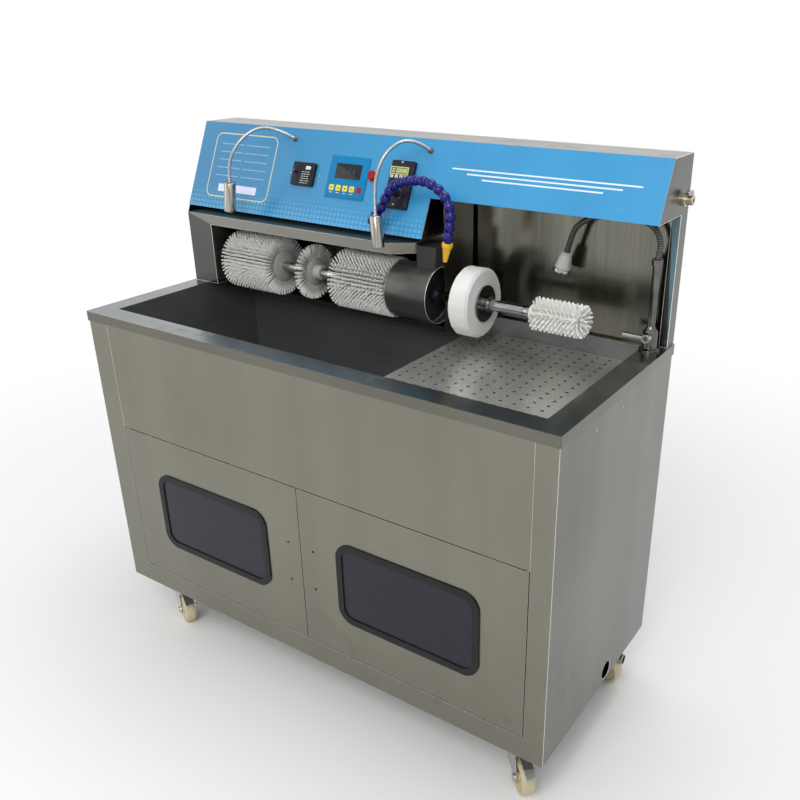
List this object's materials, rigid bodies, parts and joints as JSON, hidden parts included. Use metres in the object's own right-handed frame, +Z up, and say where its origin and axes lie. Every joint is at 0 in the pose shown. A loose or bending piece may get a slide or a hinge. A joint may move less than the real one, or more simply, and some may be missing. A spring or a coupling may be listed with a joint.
{
  "type": "shoe washing machine",
  "caption": "Stainless shoe washing station on casters: brush shaft over a deep basin, perforated tray, lamps, spray tap, control head, and doors below.",
  "frame": {"origin": "on the floor, under the centre of the cabinet", "axes": "+X to the right seen from the front, +Y to the back, +Z up"},
  "size_m": [1.216, 0.515, 1.2318],
  "materials": {
    "stainless": "satin brushed",
    "zinc": "bright zinc",
    "chrome": "polished",
    "brass": "satin",
    "black_rubber": "matt",
    "glass": "smoked",
    "nylon": "matt",
    "felt": "napped",
    "blue_face": "gloss film",
    "black_plastic": "satin",
    "red_plastic": "gloss",
    "blue_plastic": "gloss",
    "yellow_plastic": "gloss",
    "board_blue": "satin",
    "caster_tread": "satin",
    "motor_paint": "satin",
    "grey_plastic": "satin"
  },
  "bodies": {
    "cabinet": {"front_frame": "stainless", "apron_panel": "stainless", "left_side_panel": "stainless", "right_side_panel": "stainless", "rear_panels": "stainless", "floor_pan": "stainless", "worktop_rim": "stainless", "sink_basin": "stainless", "head_shell": "stainless", "hood_frame": "stainless", "splash_back": "stainless", "brush_shelf": "stainless", "motor_cover": "stainless", "left_lamp": "stainless", "right_lamp": "stainless", "caster_brackets": "zinc", "door_hinges": "zinc", "face_screws": "zinc", "shaft_bearings": "zinc", "drain_fitting": "grey_plastic", "control_face": "blue_face", "motor": "motor_paint", "terminal_box": "black_plastic", "breaker_body": "black_plastic", "speed_controller": "black_plastic", "hose_base": "black_plastic", "control_board": "board_blue", "faucet_body": "chrome", "side_valve": "brass"},
    "left_door_leaf": {"left_door": "stainless", "left_gasket": "black_rubber", "left_window": "glass"},
    "right_door_leaf": {"right_door": "stainless", "right_gasket": "black_rubber", "right_window": "glass"},
    "tray": {"perforated_tray": "stainless"},
    "brush_shaft": {"drive_shaft": "stainless", "roller_brushes": "nylon", "disc_brush": "nylon", "felt_wheel": "felt", "bottle_brush": "nylon"},
    "toggle": {"breaker_toggle": "black_plastic"},
    "button": {"push_button": "red_plastic"},
    "knob": {"control_knob": "black_plastic"},
    "hose": {"segmented_hose": "blue_plastic", "hose_nozzle": "yellow_plastic"},
    "tap_lever": {"faucet_lever": "chrome"},
    "tap_neck": {"faucet_neck": "stainless", "spray_head": "chrome"},
    "side_handle": {"side_valve_handle": "brass"},
    "front_left_swivel": {"front_left_fork": "zinc"},
    "front_left_roller": {"front_left_wheel": "caster_tread"},
    "front_left_pedal": {"front_left_brake": "zinc"},
    "front_right_swivel": {"front_right_fork": "zinc"},
    "front_right_roller": {"front_right_wheel": "caster_tread"},
    "front_right_pedal": {"front_right_brake": "zinc"},
    "rear_left_swivel": {"rear_left_fork": "zinc"},
    "rear_left_roller": {"rear_left_wheel": "caster_tread"},
    "rear_right_swivel": {"rear_right_fork": "zinc"},
    "rear_right_roller": {"rear_right_wheel": "caster_tread"}
  },
  "joints": [
    {"name": "left_door_hinge", "type": "hinge", "parent": "cabinet", "child": "left_door_leaf", "pos_m": [-0.531, -0.2505, 0.3755], "axis": [0, 0, -1], "range_deg": [0, 105]},
    {"name": "right_door_hinge", "type": "hinge", "parent": "cabinet", "child": "right_door_leaf", "pos_m": [0.547, -0.2505, 0.3755], "axis": [0, 0, 1], "range_deg": [0, 105]},
    {"name": "tray_lift", "type": "slide", "parent": "cabinet", "child": "tray", "axis": [0, 0, 1], "range_m": [0, 0.022]},
    {"name": "shaft_spin", "type": "hinge", "parent": "cabinet", "child": "brush_shaft", "pos_m": [0, 0.11, 0.904], "axis": [1, 0, 0], "continuous": true},
    {"name": "toggle_rock", "type": "hinge", "parent": "cabinet", "child": "toggle", "pos_m": [-0.264, 0.10877, 1.12729], "axis": [1, 0, 0], "range_deg": [0, 40]},
    {"name": "button_press", "type": "slide", "parent": "cabinet", "child": "button", "axis": [0, 0.9101, -0.4143], "range_m": [0, 0.003], "stiffness_N_per_m": 400},
    {"name": "knob_turn", "type": "hinge", "parent": "cabinet", "child": "knob", "pos_m": [0.0231, 0.09717, 1.11147], "axis": [0, 0.9101, -0.4143], "range_deg": [0, 270]},
    {"name": "hose_swivel", "type": "hinge", "parent": "cabinet", "child": "hose", "pos_m": [-0.02, 0.07755, 1.04591], "axis": [0, -0.9101, 0.4143], "range_deg": [-8, 10]},
    {"name": "tap_lever_turn", "type": "hinge", "parent": "cabinet", "child": "tap_lever", "pos_m": [0.568, 0.174, 0.872], "axis": [0, 1, 0], "range_deg": [0, 90]},
    {"name": "tap_neck_swing", "type": "hinge", "parent": "cabinet", "child": "tap_neck", "pos_m": [0.568, 0.195, 1.026], "axis": [0, 0, 1], "range_deg": [-2, 75]},
    {"name": "side_handle_turn", "type": "hinge", "parent": "cabinet", "child": "side_handle", "pos_m": [0.609, 0.222, 1.15], "axis": [0, 0, 1], "range_deg": [0, 90]},
    {"name": "front_left_swivel_turn", "type": "hinge", "parent": "cabinet", "child": "front_left_swivel", "pos_m": [-0.508, -0.187, 0.103], "axis": [0, 0, 1], "continuous": true},
    {"name": "front_left_wheel_roll", "type": "hinge", "parent": "front_left_swivel", "child": "front_left_roller", "pos_m": [-0.47445, -0.20484, 0.0375], "axis": [0.4695, 0.8829, 0], "continuous": true},
    {"name": "front_left_pedal_press", "type": "hinge", "parent": "front_left_swivel", "child": "front_left_pedal", "pos_m": [-0.4824, -0.20061, 0.0895], "axis": [0.4695, 0.8829, 0], "range_deg": [0, 8]},
    {"name": "front_right_swivel_turn", "type": "hinge", "parent": "cabinet", "child": "front_right_swivel", "pos_m": [0.508, -0.187, 0.103], "axis": [0, 0, 1], "continuous": true},
    {"name": "front_right_wheel_roll", "type": "hinge", "parent": "front_right_swivel", "child": "front_right_roller", "pos_m": [0.53624, -0.21243, 0.0375], "axis": [0.6691, 0.7431, 0], "continuous": true},
    {"name": "front_right_pedal_press", "type": "hinge", "parent": "front_right_swivel", "child": "front_right_pedal", "pos_m": [0.52955, -0.20641, 0.0895], "axis": [0.6691, 0.7431, 0], "range_deg": [0, 8]},
    {"name": "rear_left_swivel_turn", "type": "hinge", "parent": "cabinet", "child": "rear_left_swivel", "pos_m": [-0.508, 0.187, 0.103], "axis": [0, 0, 1], "continuous": true},
    {"name": "rear_left_wheel_roll", "type": "hinge", "parent": "rear_left_swivel", "child": "rear_left_roller", "pos_m": [-0.47229, 0.174, 0.0375], "axis": [0.342, 0.9397, 0], "continuous": true},
    {"name": "rear_right_swivel_turn", "type": "hinge", "parent": "cabinet", "child": "rear_right_swivel", "pos_m": [0.508, 0.187, 0.103], "axis": [0, 0, 1], "continuous": true},
    {"name": "rear_right_wheel_roll", "type": "hinge", "parent": "rear_right_swivel", "child": "rear_right_roller", "pos_m": [0.54542, 0.1804, 0.0375], "axis": [0.1736, 0.9848, 0], "continuous": true}
  ]
}
